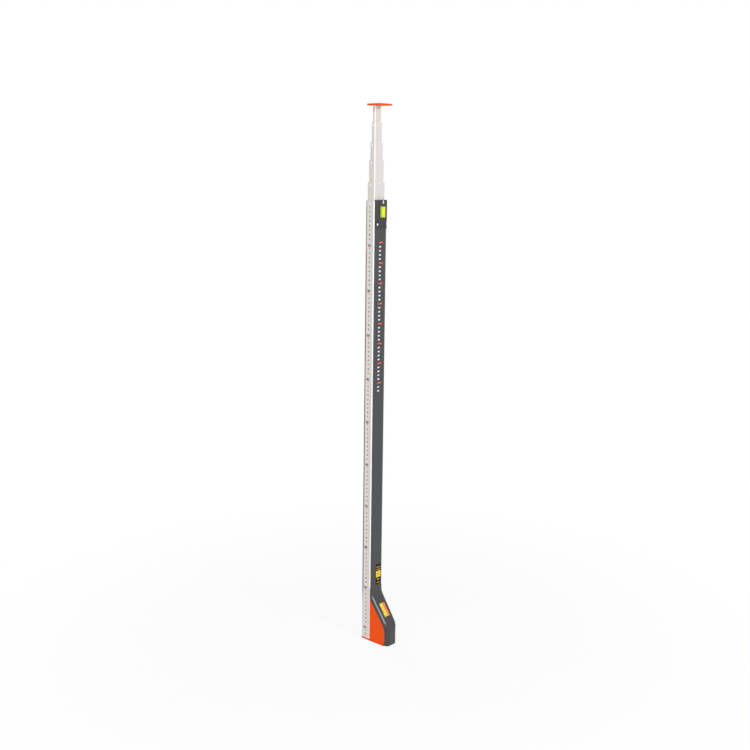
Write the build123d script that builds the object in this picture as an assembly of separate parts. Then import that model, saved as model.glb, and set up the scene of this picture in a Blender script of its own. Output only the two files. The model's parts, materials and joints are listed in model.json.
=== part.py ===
from build123d import *
import math
import os

# Telescopic measuring rod: box tubes that slide in each other, a tape reel in the foot.
# Millimetres. Origin on the tube axis at the base, +Z up the rod, -Y is the front,
# and the printed scale is on the -X face.

# Tubes
outer_w = 38.0
outer_d = 26.0
outer_wall = 1.5
outer_radius = 3.0
inner_wall = 1.0
inner_radius = 2.4
bore_radius = 0.6
slide_gap = 0.75
section_length = 883.0
sections = 6
park_gap = 0.7
rest_out = [38.7, 47.6, 37.4, 42.3, 35.0]

# Bushes and shoes between the tubes
glide_clearance = 0.12
seat_clearance = 0.03
rim_t = 0.8
rim_inset = 0.15
bush_length = 34.0
shoe_length = 58.0
shoe_lip = 1.5

# Brake buttons in the tube mouths
button_d = 5.0
button_lip = 0.4
button_lip_t = 0.25
button_seat = 0.05
button_clearance = 0.08
button_drop = 6.5
button_margin = 0.6
button_edge_r = 0.35

# Scale strip on the left face
strip_w = 13.0
strip_inset = 3.1
strip_t = 0.3
strip_groove = 0.35
strip_rise = 4.0
strip_drop = 12.5

# Base plate
base_t = 4.0
base_overhang = 0.4
base_front_gap = 0.2
base_edge = 0.3

# Front cover and its label
cover_inset = 1.4
cover_t = 3.6
cover_edge_side = 1.5
cover_edge_front = 4.2
cover_wall = 2.0
label_w = 16.3
label_h = 49.5
label_t = 0.3
label_inset = 4.45
label_rise = 5.65

# Top cap
cap_h = 62.3
cap_rise = 1.4
cap_edge_r = 1.0
cap_slot_w = 5.6
cap_slot_depth = 8.0
cap_slot_inset = 12.0
key_w = 3.4
key_clearance = 0.1
key_sink = 0.3
cap_notch_depth = 1.6
cap_notch_h = 19.0
cap_notch_rise = 11.4
cap_recess_r = 4.0
cap_recess_tail = 10.0
cap_recess_depth = 1.3
cap_screw_inset = 5.4
cap_screw_rise = 9.6

# Level vial in the cap
vial_w = 10.6
vial_d = 5.0
vial_h = 23.6
vial_inset = 10.6
vial_drop = 26.2
vial_sink = 0.3
vial_bore_d = 3.8
vial_end_wall = 1.6
vial_plug_t = 1.4
vial_air = 4.5
vial_gap = 0.3
vial_edge = 0.5
pocket_slant = 5.5
pocket_side = 4.5
pocket_floor = 0.6
pocket_clear = 0.1
pocket_wall = 0.9

# Foot housing
foot_depth = 55.3
foot_h = 131.8
foot_taper = 2.5
foot_corner_r = 9.0
foot_wall = 2.8
foot_back_wall = 2.0
toe_t = 3.0
toe_lift = 2.0
toe_length = 11.8
slope_top_z = 116.7
slope_bottom_z = 46.2
slope_top_r = 22.5
slope_bottom_r = 47.5
foot_edge_side = 1.3
foot_edge_front = 3.4
edge_land = 0.3
post_r = 3.2
post_h = 12.0

# Side covers
side_t = 1.4
side_clearance = 0.15
side_ledge = 2.0
side_apex_drop = 12.2
side_shoulder_inset = 12.7
side_shoulder_rise = 1.3
side_shoulder_r = 30.0
side_front_inset = 9.3
side_front_drop = 13.2
side_rise = 0.1
side_corner_r = 8.0
side_boss_r = 5.0
side_skin = 0.85

# Reading window on the slope
window_w = 19.0
window_h = 35.6
window_t = 1.0
window_sink = 0.2
window_shift = 3.3
window_drop = 34.7
window_ledge = 1.0
window_clearance = 0.1
index_w = 6.8
index_t = 0.4

# Tape, reel and return spring
tape_w = 10.0
tape_t = 0.2
tape_x = -0.9
tape_gap = 0.05
channel_gap = 0.4
reel_shift = 0.4
reel_slope_gap = 0.45
reel_lip = 0.8
reel_flange_t = 1.0
reel_hub_r = 10.0
reel_hub_wall = 1.6
reel_side_gap = 0.3
winding_r = 18.0
reel_bearing_r = 4.4
reel_bearing_length = 2.4
axle_d = 5.0
axle_clearance = 0.05
spring_t = 0.35
spring_turns = 5
spring_gap = 0.2
spring_w = 7.0
tape_split_drop = 42.5
tape_side_step = 0.5

# Guide roller and the block that holds its pin
roller_r = 4.0
roller_side = 1.0
roller_end_gap = 0.5
pin_d = 3.0
pin_grip = 5.0
block_foot = 8.0
block_cover = 1.65
block_back_y = 5.0
slot_reach = 13.0
slot_side = 2.0

# Plug in the bottom of the outer tube
plug_h = 20.0

# Top plate, its plug and the tape's end
plate_overhang = 0.8
plate_back_inset = 1.0
plate_reach = 14.2
plate_t = 3.7
plate_corner_r = 2.0
plate_edge_r = 0.7
top_plug_h = 30.0
tape_pocket_h = 14.0
tape_pocket_t = 0.7
anchor_drop = 8.5
anchor_head_r = 1.8
anchor_shank_r = 1.2
anchor_length = 2.6

# Screws
screw_d = 3.0
screw_head_d = 5.5
screw_head_h = 1.9
screw_edge_r = 0.5
screw_fit = 0.04
screw_pass = 0.15
flush_screw_sink = 0.3
base_screw_length = 14.0
base_screw_inset = 7.5
base_screw_setback = 7.0
plate_screw_d = 2.5
plate_screw_head_d = 4.7
plate_screw_length = 12.0
plate_screw_x = 3.5
housing_screw_length = 11.0
housing_screw_inset = 6.0
housing_screw_rise = 12.0
housing_screw_drop = 8.3
drive_w = 0.8
drive_depth = 0.6


# Shared shapes

def tube_size(k):
    if k == 1:
        return outer_w, outer_d
    shrink = 2 * (outer_wall + slide_gap) + 2 * (k - 2) * (inner_wall + slide_gap)
    return outer_w - shrink, outer_d - shrink


def tube_wall(k):
    return outer_wall if k == 1 else inner_wall


def tube_radius(k):
    return outer_radius if k == 1 else inner_radius


def bore_size(k):
    w, d = tube_size(k)
    return w - 2 * tube_wall(k), d - 2 * tube_wall(k)


def raised(outline, height):
    return extrude(outline, amount=height, dir=(0, 0, 1))


def rounded_bar(w, d, r, z0, z1):
    return Pos(0, 0, z0) * raised(RectangleRounded(w, d, r), z1 - z0)


def bore_filler(k, z0, z1):
    # a bar that seats in a tube's bore
    bw, bd = bore_size(k)
    return rounded_bar(bw - 2 * seat_clearance, bd - 2 * seat_clearance, bore_radius, z0, z1)


def block(x0, x1, y0, y1, z0, z1):
    box = Box(x1 - x0, y1 - y0, z1 - z0, align=(Align.MIN, Align.MIN, Align.MIN))
    return Pos(x0, y0, z0) * box


def side_prism(outline, x0, x1):
    # an outline drawn in Y and Z, carried across from x0 to x1
    return Plane.YZ.offset(x0) * raised(outline, x1 - x0)


standing = (Align.CENTER, Align.CENTER, Align.MIN)


def rod_x(y, z, r, x0, x1):
    return Plane.YZ.offset(x0) * Pos(y, z) * Cylinder(r, x1 - x0, align=standing)


def rod_y(x, z, r, y0, y1):
    turned = Plane((x, y0, z), x_dir=(1, 0, 0), z_dir=(0, 1, 0))
    return turned * Cylinder(r, y1 - y0, align=standing)


def rod_z(x, y, r, z0, z1):
    return Pos(x, y, z0) * Cylinder(r, z1 - z0, align=standing)


def cone_z(x, y, r_low, r_high, z0, z1):
    return Pos(x, y, z0) * Cone(r_low, r_high, z1 - z0, align=standing)


def write(name, solid):
    export_step(solid, f"parts/{name}.step")


# Places that follow from the sizes

screw_r = screw_d / 2
screw_head_r = screw_head_d / 2
plate_screw_r = plate_screw_d / 2
plate_screw_head_r = plate_screw_head_d / 2
axle_r = axle_d / 2
pin_r = pin_d / 2
tube_front = -outer_d / 2
tube_left = -outer_w / 2
cover_w = outer_w - 2 * cover_inset
cover_front = tube_front - cover_t
cap_t = vial_sink + vial_d + pocket_floor + pocket_clear - outer_wall
cap_front = tube_front - cap_t
plate_w = outer_w + 2 * plate_overhang
plate_back_y = outer_d / 2 - plate_back_inset
plate_front_y = tube_front - plate_reach
button_lip_r = button_d / 2 + button_lip
button_hole_r = button_d / 2 + button_clearance
button_y = bore_size(sections - 1)[1] / 2 - button_lip_r - button_margin
base_screw_x = outer_w / 2 - base_screw_inset
housing_screw_x = outer_w / 2 - housing_screw_inset


# Foot outline seen from the side: the slope runs from the collar down to the front

foot_front = foot_depth - tube_front
foot_half_back = outer_w / 2
foot_half_front = foot_half_back - foot_taper
hollow_front = -foot_front + foot_wall
hollow_back = tube_front - foot_back_wall
base_front = -foot_front + toe_length
toe_back = base_front - base_front_gap
slope_dy = -foot_front - cover_front
slope_dz = slope_bottom_z - slope_top_z
slope_run = math.hypot(slope_dy, slope_dz)
slope_up = (-slope_dy / slope_run, -slope_dz / slope_run)
slope_out = (-slope_up[1], slope_up[0])
wall_along_y = foot_wall / slope_up[1]


def slope_y(z):
    return cover_front + (slope_top_z - z) / slope_dz * -slope_dy


def slope_z(y):
    return slope_top_z + (y - cover_front) / slope_dy * slope_dz


def foot_half(y):
    share = (tube_front - y) / (tube_front + foot_front)
    return foot_half_back + share * (foot_half_front - foot_half_back)


def foot_plan(inset):
    # seen from above, the foot tapers to its front, drawn in all round by the inset
    back = tube_front + foot_wall
    front = -foot_front + inset
    return Polygon(
        (foot_half(back) - inset, back),
        (foot_half(front) - inset, front),
        (-foot_half(front) + inset, front),
        (-foot_half(back) + inset, back),
        align=None,
    )


def upright(plan):
    return Pos(0, 0, -base_t) * raised(plan, foot_h + 2 * base_t)


def foot_wedge(inset):
    # that plan with its front corners rounded
    plan = foot_plan(inset)
    return upright(fillet(plan.vertices().group_by(Axis.Y)[0], foot_corner_r - inset))


def side_panel(grow):
    # side cover outline, grown by a clearance or drawn in for its ledge
    outline = Polygon(
        (tube_front - side_clearance, slope_top_z - side_apex_drop),
        (tube_front - side_clearance, base_t + side_rise),
        (-foot_front + side_front_inset, base_t + side_rise),
        (-foot_front + side_front_inset, slope_bottom_z - side_front_drop),
        (-foot_front + side_shoulder_inset, slope_bottom_z + side_shoulder_rise),
        align=None,
    )
    front = outline.vertices().sort_by(Axis.X)[:3].sort_by(Axis.Y)
    outline = fillet(front[1:], side_shoulder_r)
    outline = fillet(outline.vertices().group_by(Axis.Y)[0].sort_by(Axis.X)[0], side_corner_r)
    if grow:
        outline = offset(outline, amount=grow, kind=Kind.INTERSECTION)
    return side_prism(outline, -outer_w, outer_w)


window_x = tape_x + window_shift
window_z = slope_top_z - window_drop
slope_plane = Plane(
    (window_x, slope_y(window_z), window_z),
    x_dir=(1, 0, 0),
    z_dir=(0, slope_out[0], slope_out[1]),
)


def on_slope(w, h, deep, thick, x=0):
    plate = Box(w, h, thick, align=(Align.CENTER, Align.CENTER, Align.MAX))
    return slope_plane * Pos(x, 0, -deep) * plate


# Tape path: off the winding, up behind the window, round the roller, up the tubes

tape_low_x = tape_x - tape_w / 2
tape_high_x = tape_x + tape_w / 2
reel_flange_r = winding_r + reel_lip
reel_y = (hollow_front + hollow_back) / 2 - reel_shift
slope_depth = cover_front * slope_out[0] + slope_top_z * slope_out[1]
channel_top = window_sink + window_t + index_t
tape_mid_r = winding_r + tape_gap + tape_t / 2
reel_depth = slope_depth - channel_top - channel_gap - tape_t / 2 - tape_mid_r
reel_z = (reel_depth - reel_y * slope_out[0]) / slope_out[1]
roller_reach = roller_r + tape_gap + tape_t / 2
leave_y = reel_y + slope_out[0] * tape_mid_r
leave_z = reel_z + slope_out[1] * tape_mid_r
roller_y = -roller_reach
roller_z = leave_z + (roller_reach - (roller_y - leave_y) * slope_out[0]) / slope_out[1]
touch_y = roller_y - slope_out[0] * roller_reach
touch_z = roller_z - slope_out[1] * roller_reach
slot_z = leave_z + (tube_front - leave_y) * slope_up[1] / slope_up[0]
slot_bottom_z = slot_z - slot_reach
slot_top_z = slot_z + slot_reach


# Heights on the rod: the shoe of a pushed-in tube parks above the roller block

hollow_top_z = slope_z(hollow_back - wall_along_y)
housing_screw_low_z = base_t + housing_screw_rise
housing_screw_high_z = hollow_top_z - housing_screw_drop
block_bottom_z = housing_screw_high_z - block_foot
block_top_z = roller_z + roller_r + block_cover
rims = [block_top_z + park_gap + shoe_lip + section_length]
for out in rest_out:
    rims.append(rims[-1] + out)
plate_z = rims[-1]
strip_y = outer_d / 2 - strip_inset - strip_w / 2
strip_bottom_z = base_t + strip_rise
strip_top_z = rims[0] - strip_drop
tape_split_z = rims[0] - tape_split_drop
cap_top_z = rims[0] + cap_rise
cover_top_z = cap_top_z - cap_h
cover_bottom_z = foot_h
label_x = cover_w / 2 - label_inset - label_w / 2
label_z = cover_bottom_z + label_rise + label_h / 2
cap_slot_x = cover_w / 2 - cap_slot_inset
cap_notch_z = cover_top_z + cap_notch_rise
cap_screw_x = -cover_w / 2 + cap_screw_inset
cap_screw_z = cover_top_z + cap_screw_rise
vial_x = cover_w / 2 - vial_inset
vial_z = cap_top_z - vial_drop
base_screw_front_y = base_front + base_screw_setback


def tube_span(k):
    if k == 1:
        return base_t, rims[0] - rim_t
    low = rims[k - 1] - section_length
    high = plate_z if k == sections else rims[k - 1] - rim_t
    return low, high


# Outer tube and what is fixed to it

def make_outer_tube():
    w, d = tube_size(1)
    low, high = tube_span(1)
    bw, bd = bore_size(1)
    tube = rounded_bar(w, d, outer_radius, low, high)
    tube -= rounded_bar(bw, bd, bore_radius, low, high)
    tube -= block(
        tube_left, tube_left + strip_groove,
        strip_y - strip_w / 2, strip_y + strip_w / 2,
        strip_bottom_z, strip_top_z,
    )
    tube -= rod_x(button_y, rims[0] - button_drop, button_hole_r, tube_left, tube_left + outer_wall)
    tube -= block(
        pocket_left - pocket_wall - seat_clearance, pocket_right + pocket_wall + seat_clearance,
        tube_front, tube_front + outer_wall,
        pocket_low - pocket_wall - seat_clearance, pocket_high + pocket_wall + seat_clearance,
    )
    tube -= block(
        tape_low_x - slot_side, tape_high_x + slot_side,
        tube_front, tube_front + outer_wall, slot_bottom_z, slot_top_z,
    )
    tube -= rod_y(cap_screw_x, cap_screw_z, screw_r + screw_fit, tube_front, tube_front + outer_wall)
    for x, z in housing_screw_places:
        tube -= rod_y(x, z, screw_r + screw_pass, tube_front, tube_front + outer_wall)
    return tube


def make_scale_strip():
    return block(
        tube_left + strip_groove - strip_t, tube_left + strip_groove,
        strip_y - strip_w / 2, strip_y + strip_w / 2, strip_bottom_z, strip_top_z,
    )


def make_front_cover():
    bar = block(-cover_w / 2, cover_w / 2, cover_front, tube_front, cover_bottom_z, cover_top_z)
    front = bar.faces().sort_by(Axis.Y)[0]
    edges = front.edges().filter_by(Axis.Z)
    bar = chamfer(edges, cover_edge_front, cover_edge_side, reference=front)
    inside = cover_w / 2 - cover_wall
    return bar - block(-inside, inside, cover_front + cover_wall, tube_front, cover_bottom_z, cover_top_z)


def make_label_plate():
    return block(
        label_x - label_w / 2, label_x + label_w / 2, cover_front - label_t, cover_front,
        label_z - label_h / 2, label_z + label_h / 2,
    )


# Top cap with its vial pocket

pocket_back = cap_front + vial_sink + vial_d
pocket_left = vial_x - vial_w / 2 - pocket_side
pocket_right = vial_x + vial_w / 2 + vial_gap
pocket_low = vial_z - vial_h / 2 - vial_gap
pocket_high = vial_z + vial_h / 2 + vial_gap


def make_top_cap():
    cap = block(-cover_w / 2, cover_w / 2, cap_front, tube_front, cover_top_z, cap_top_z)
    rounded = cap.faces().sort_by(Axis.Y)[0].edges().sort_by(Axis.Z)[1:]
    cap = fillet(rounded, cap_edge_r)
    cap += block(
        pocket_left - pocket_wall, pocket_right + pocket_wall,
        cap_front + cap_edge_r, pocket_back + pocket_floor,
        pocket_low - pocket_wall, pocket_high + pocket_wall,
    )
    pocket = Polygon(
        (pocket_left - pocket_slant, cap_front),
        (pocket_right, cap_front),
        (pocket_right, pocket_back),
        (pocket_left, pocket_back),
        align=None,
    )
    cap -= Pos(0, 0, pocket_low) * raised(pocket, pocket_high - pocket_low)
    cap -= block(
        cap_slot_x - cap_slot_w / 2, cap_slot_x + cap_slot_w / 2, cap_front, tube_front,
        cap_top_z - cap_slot_depth, cap_top_z,
    )
    notch_r = (cap_notch_depth ** 2 + (cap_notch_h / 2) ** 2) / (2 * cap_notch_depth)
    cap -= rod_y(cover_w / 2 - cap_notch_depth + notch_r, cap_notch_z, notch_r, cap_front, tube_front)
    floor = cap_front + cap_recess_depth
    cap -= rod_y(cap_screw_x, cap_screw_z, cap_recess_r, cap_front, floor)
    tail_half = cap_recess_r * math.sqrt(1 - (cap_recess_r / cap_recess_tail) ** 2)
    tail_low = cap_recess_r ** 2 / cap_recess_tail
    tail = Polygon((-tail_half, tail_low), (tail_half, tail_low), (0, cap_recess_tail), align=None)
    front = Plane((cap_screw_x, floor, cap_screw_z), x_dir=(1, 0, 0), z_dir=(0, -1, 0))
    cap -= front * raised(tail, cap_recess_depth)
    cap -= rod_y(cap_screw_x, cap_screw_z, screw_r + screw_pass, floor, tube_front)
    return cap


def cross_drive(x, z, y):
    half = drive_w / 2
    cut = block(x - screw_r, x + screw_r, y, y + drive_depth, z - half, z + half)
    return cut + block(x - half, x + half, y, y + drive_depth, z - screw_r, z + screw_r)


def make_cap_screw():
    seat = cap_front + cap_recess_depth
    head = rod_y(cap_screw_x, cap_screw_z, screw_head_r, cap_front, seat)
    head = fillet(head.edges().group_by(Axis.Y)[0], screw_edge_r)
    head -= cross_drive(cap_screw_x, cap_screw_z, cap_front)
    return head + rod_y(cap_screw_x, cap_screw_z, screw_r, seat, tube_front + outer_wall - seat_clearance)


vial_low = vial_z - vial_h / 2
vial_high = vial_z + vial_h / 2
vial_mid_y = pocket_back - vial_d / 2
vial_bore_r = vial_bore_d / 2


def make_level_vial():
    half = vial_w / 2
    body = block(vial_x - half, vial_x + half, pocket_back - vial_d, pocket_back, vial_low, vial_high)
    body = chamfer(body.faces().sort_by(Axis.Y)[0].edges(), vial_edge)
    return body - rod_z(vial_x, vial_mid_y, vial_bore_r, vial_low + vial_end_wall, vial_high)


def make_vial_plug():
    return rod_z(vial_x, vial_mid_y, vial_bore_r - seat_clearance, vial_high - vial_plug_t, vial_high)


def make_vial_fluid():
    top = vial_high - vial_plug_t - vial_air
    return rod_z(vial_x, vial_mid_y, vial_bore_r - seat_clearance, vial_low + vial_end_wall, top)


# Bushes in the tube mouths, shoes on the tube ends, brake buttons

def make_guide_bush(k):
    w, d = tube_size(k)
    nw, nd = tube_size(k + 1)
    rim = rims[k - 1]
    seat = rim - rim_t
    bush = bore_filler(k, seat - bush_length, seat)
    bush += rounded_bar(w - 2 * rim_inset, d - 2 * rim_inset, tube_radius(k) - rim_inset, seat, rim)
    bush -= rounded_bar(
        nw + 2 * glide_clearance, nd + 2 * glide_clearance,
        inner_radius + glide_clearance, seat - bush_length, rim,
    )
    return bush - rod_x(button_y, rim - button_drop, button_lip_r + button_clearance, -w / 2, 0)


def make_cap_key():
    # the first bush has a key that hangs over the tube's edge in the slot of the cap
    low_x = cap_slot_x - key_w / 2
    high_x = cap_slot_x + key_w / 2
    low_z = cap_top_z - cap_slot_depth + key_clearance
    seat = rims[0] - rim_t
    key = block(low_x, high_x, cap_front + key_sink, tube_front - seat_clearance, low_z, rims[0])
    return key + block(low_x, high_x, tube_front - seat_clearance, tube_front + outer_wall, seat, rims[0])


def make_section_tube(k):
    w, d = tube_size(k)
    bw, bd = bore_size(k)
    low, high = tube_span(k)
    tube = rounded_bar(w, d, inner_radius, low, high) - rounded_bar(bw, bd, bore_radius, low, high)
    if k < sections:
        return tube - rod_x(button_y, rims[k - 1] - button_drop, button_hole_r, -w / 2, -bw / 2)
    return tube - anchor_shape(screw_fit)


def make_glide_shoe(k):
    w, d = tube_size(k)
    bw, bd = bore_size(k)
    hw, hd = bore_size(k - 1)
    low = tube_span(k)[0]
    shoe = rounded_bar(
        hw - 2 * glide_clearance, hd - 2 * glide_clearance, bore_radius, low - shoe_lip, low + shoe_length
    )
    loose = 2 * seat_clearance
    shoe -= rounded_bar(w + loose, d + loose, inner_radius, low, low + shoe_length)
    return shoe - rounded_bar(bw, bd, bore_radius, low - shoe_lip, low)


def make_button(k):
    face = -tube_size(k)[0] / 2
    z = rims[k - 1] - button_drop
    step = face + tube_wall(k) + button_seat
    stem = rod_x(button_y, z, button_d / 2, face, step)
    stem = fillet(stem.edges().group_by(Axis.X)[0], button_edge_r)
    return stem + rod_x(button_y, z, button_lip_r, step, step + button_lip_t)


# Foot: base plate, plug, housing, side covers

housing_screw_places = [
    (side * housing_screw_x, z) for z in (housing_screw_low_z, housing_screw_high_z) for side in (-1, 1)
]
base_screw_places = [(side * base_screw_x, y) for y in (0, base_screw_front_y) for side in (-1, 1)]


def flush_screw(x, y, z_flat, way, length, r, head_r):
    # countersunk screw with its flat head at z_flat, its shank running up (1) or down (-1)
    neck = z_flat + way * (head_r - r)
    ends = (head_r, r) if way > 0 else (r, head_r)
    screw = cone_z(x, y, *ends, *sorted((z_flat, neck)))
    screw += rod_z(x, y, r, *sorted((neck, z_flat + way * length)))
    low, high = sorted((z_flat, z_flat + way * drive_depth))
    half = drive_w / 2
    screw -= block(x - r, x + r, y - half, y + half, low, high)
    return screw - block(x - half, x + half, y - r, y + r, low, high)


def flush_hole(x, y, z_face, z_flat, z_end, r, head_r):
    # the seat for such a screw: a countersink open to the face, then a close hole
    way = 1 if z_end > z_face else -1
    neck = z_flat + way * (head_r - r)
    wide = head_r + screw_fit
    close = r + screw_fit
    ends = (wide, close) if way > 0 else (close, wide)
    hole = cone_z(x, y, *ends, *sorted((z_flat, neck)))
    hole += rod_z(x, y, wide, *sorted((z_face, z_flat)))
    return hole + rod_z(x, y, close, *sorted((neck, z_end)))


def make_base_plate():
    back = outer_d / 2 + base_overhang
    half = outer_w / 2 + base_overhang
    plan = Polygon(
        (half, back), (half, tube_front), (foot_half(base_front), base_front),
        (-foot_half(base_front), base_front), (-half, tube_front), (-half, back), align=None,
    )
    plan = fillet(plan.vertices().group_by(Axis.Y)[-1], outer_radius + base_overhang)
    plate = raised(plan, base_t)
    plate = chamfer(plate.edges().group_by(Axis.Z)[0] + plate.edges().group_by(Axis.Z)[-1], base_edge)
    for x, y in base_screw_places:
        plate -= flush_hole(x, y, 0, flush_screw_sink, base_t, screw_r, screw_head_r)
    return plate


def make_base_screws():
    return Compound(children=[
        flush_screw(x, y, flush_screw_sink, 1, base_screw_length, screw_r, screw_head_r)
        for x, y in base_screw_places
    ])


def make_base_plug():
    plug = bore_filler(1, base_t, base_t + plug_h)
    for side in (-1, 1):
        end = flush_screw_sink + base_screw_length
        plug -= rod_z(side * base_screw_x, 0, screw_r + screw_fit, base_t, end)
        tip = hollow_back + housing_screw_length
        plug -= rod_y(side * housing_screw_x, housing_screw_low_z, screw_r + screw_fit, tube_front, tip)
    return plug


def make_foot_housing():
    profile = Polygon(
        (tube_front, foot_h), (cover_front, foot_h), (cover_front, slope_top_z),
        (-foot_front, slope_bottom_z), (-foot_front, 0), (tube_front, 0), align=None,
    )
    bends = profile.vertices().sort_by(Axis.Y)
    profile = fillet(bends[3], slope_top_r)
    bends = profile.vertices().sort_by(Axis.Y)
    profile = fillet(bends[2], slope_bottom_r)
    shell = side_prism(profile, -outer_w, outer_w) & upright(foot_plan(0))
    for side in (-1, 1):
        flank = shell.faces().sort_by(Axis.X)[0 if side < 0 else -1]
        edges = flank.edges().filter_by(
            lambda e: e.center().Y < cover_front + edge_land
            and base_t < e.center().Z < foot_h - edge_land
        )
        shell = chamfer(edges, foot_edge_side, foot_edge_front, reference=flank)
    shell = shell & foot_wedge(0)

    hollow = Polygon(
        (hollow_back, hollow_top_z),
        (hollow_back, -base_t),
        (toe_back, -base_t),
        (toe_back, base_t + toe_t),
        (hollow_front, base_t + toe_t),
        (hollow_front, slope_z(hollow_front - wall_along_y)),
        align=None,
    )
    bend = hollow.vertices().group_by(Axis.X)[0].sort_by(Axis.Y)[-1]
    hollow = fillet(bend, slope_bottom_r - foot_wall)
    shell -= side_prism(hollow, -outer_w, outer_w) & foot_wedge(foot_wall)
    shell -= block(-outer_w, outer_w, toe_back, tube_front, -base_t, base_t)
    shell -= block(-outer_w, outer_w, -foot_front, toe_back, -base_t, toe_lift)
    for side in (-1, 1):
        x = side * base_screw_x
        shell += rod_z(x, base_screw_front_y, post_r, base_t, base_t + post_h)
        shell += block(
            x - post_r / 2, x + post_r / 2, hollow_front - foot_wall / 2, base_screw_front_y,
            base_t, base_t + post_h,
        )
        end = flush_screw_sink + base_screw_length
        shell -= rod_z(x, base_screw_front_y, screw_r + screw_fit, base_t, end)
    return shell


def tape_channel():
    # the tape's way along the inside of the slope, from the reel to the tube
    low = (leave_z - window_z) / slope_up[1]
    high = (tube_front - slope_y(window_z)) / slope_up[0]
    way = Box(tape_w + 2 * slot_side, high - low, foot_wall, align=(Align.CENTER, Align.MIN, Align.MAX))
    way = slope_plane * Pos(tape_x - window_x, low, -channel_top) * way
    reel_room = reel_flange_r + reel_slope_gap
    return way + rod_x(reel_y, reel_z, reel_room, reel_low_x - reel_side_gap, reel_high_x + reel_side_gap)


def finish_foot_housing(shell):
    shell -= side_panel(side_clearance) - foot_wedge(side_t)
    low_ledge = side_panel(-side_ledge)
    shell -= low_ledge - foot_wedge(foot_wall) & foot_wedge(0)
    loose = 2 * window_clearance
    shell -= on_slope(window_w + loose, window_h + loose, 0, window_sink + window_t)
    shell -= on_slope(window_w - 2 * window_ledge, window_h - 2 * window_ledge, 0, 2 * foot_wall)
    shell -= block(
        tape_low_x - slot_side, tape_high_x + slot_side,
        hollow_back, tube_front, slot_bottom_z, slot_top_z,
    )
    for x, z in housing_screw_places:
        shell -= rod_y(x, z, screw_r + screw_pass, hollow_back, tube_front)
    return shell - tape_channel()


def make_side_cover(side):
    plate = side_panel(0) & foot_wedge(0)
    plate -= foot_wedge(side_t)
    plate = plate & block(*sorted((0, side * outer_w)), -foot_front, tube_front, 0, foot_h)
    face = foot_half(reel_y)
    boss_end = side * reel_gap_x(side)
    plate += rod_x(reel_y, reel_z, side_boss_r, *sorted((boss_end, side * (face - side_t / 2))))
    bore_end = side * (face - side_skin)
    return plate - rod_x(reel_y, reel_z, axle_r + seat_clearance, *sorted((boss_end, bore_end)))


def make_housing_screws():
    screws = []
    top = hollow_back - screw_head_h
    for x, z in housing_screw_places:
        head = rod_y(x, z, screw_head_r, top, hollow_back)
        head = fillet(head.edges().group_by(Axis.Y)[0], screw_edge_r)
        head -= cross_drive(x, z, top)
        screws.append(head + rod_y(x, z, screw_r, hollow_back, hollow_back + housing_screw_length))
    return Compound(children=screws)


# Reading window and index margin behind it

def make_reading_window():
    pane = on_slope(window_w, window_h, window_sink, window_t)
    return chamfer(pane.faces().sort_by(Axis((0, 0, 0), (0, *slope_out)))[-1].edges(), window_sink)


def make_index_plate():
    inside = window_w / 2 - window_ledge - window_clearance
    height = window_h - 2 * window_ledge - 2 * window_clearance
    return on_slope(index_w, height, window_sink + window_t, index_t, inside - index_w / 2)


# Reel, tape and spring

reel_low_x = tape_low_x - reel_side_gap - reel_flange_t
reel_high_x = tape_high_x + reel_side_gap + reel_flange_t


def reel_gap_x(side):
    # where each side cover's boss ends beside the reel
    return reel_high_x + 2 * reel_side_gap if side > 0 else -reel_low_x + 2 * reel_side_gap


def make_reel_axle():
    half = foot_half(reel_y) - side_skin - reel_side_gap
    return rod_x(reel_y, reel_z, axle_r, -half, half)


def make_reel_spool():
    spool = rod_x(reel_y, reel_z, reel_hub_r, reel_low_x, reel_high_x)
    spool += rod_x(reel_y, reel_z, reel_flange_r, reel_low_x, reel_low_x + reel_flange_t)
    spool += rod_x(reel_y, reel_z, reel_flange_r, reel_high_x - reel_flange_t, reel_high_x)
    spool -= rod_x(reel_y, reel_z, reel_hub_r - reel_hub_wall, reel_low_x + reel_flange_t, reel_high_x)
    spool += rod_x(reel_y, reel_z, reel_bearing_r, reel_low_x, reel_low_x + reel_bearing_length)
    return spool - rod_x(reel_y, reel_z, axle_r + axle_clearance, reel_low_x, reel_high_x)


def make_tape_winding():
    ring = rod_x(reel_y, reel_z, winding_r, tape_low_x, tape_high_x)
    return ring - rod_x(reel_y, reel_z, reel_hub_r + seat_clearance, tape_low_x, tape_high_x)


def make_return_spring():
    # flat spiral strip of half-turn arcs, from the axle out to the hub
    inner_r = axle_r + spring_gap
    outer_r = reel_hub_r - reel_hub_wall - seat_clearance
    pitch = (outer_r - inner_r - spring_t) / spring_turns
    arcs = []
    for half in range(2 * spring_turns):
        r = inner_r + half * pitch / 2
        centre = 0 if half % 2 == 0 else pitch / 2
        start = 0 if half % 2 == 0 else 180
        arcs.append((centre, r, start))
    lines = []
    for centre, r, start in arcs:
        lines.append(CenterArc((centre, 0), r, start, 180))
        lines.append(CenterArc((centre, 0), r + spring_t, start, 180))
    first = arcs[0][1]
    last = arcs[-1][1]
    lines.append(Line((first, 0), (first + spring_t, 0)))
    end = arcs[-1][0] + last
    lines.append(Line((end, 0), (end + spring_t, 0)))
    low = tape_x - spring_w / 2 + reel_flange_t
    return Pos(0, reel_y, reel_z) * side_prism(make_face(lines), low, low + spring_w)


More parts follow.
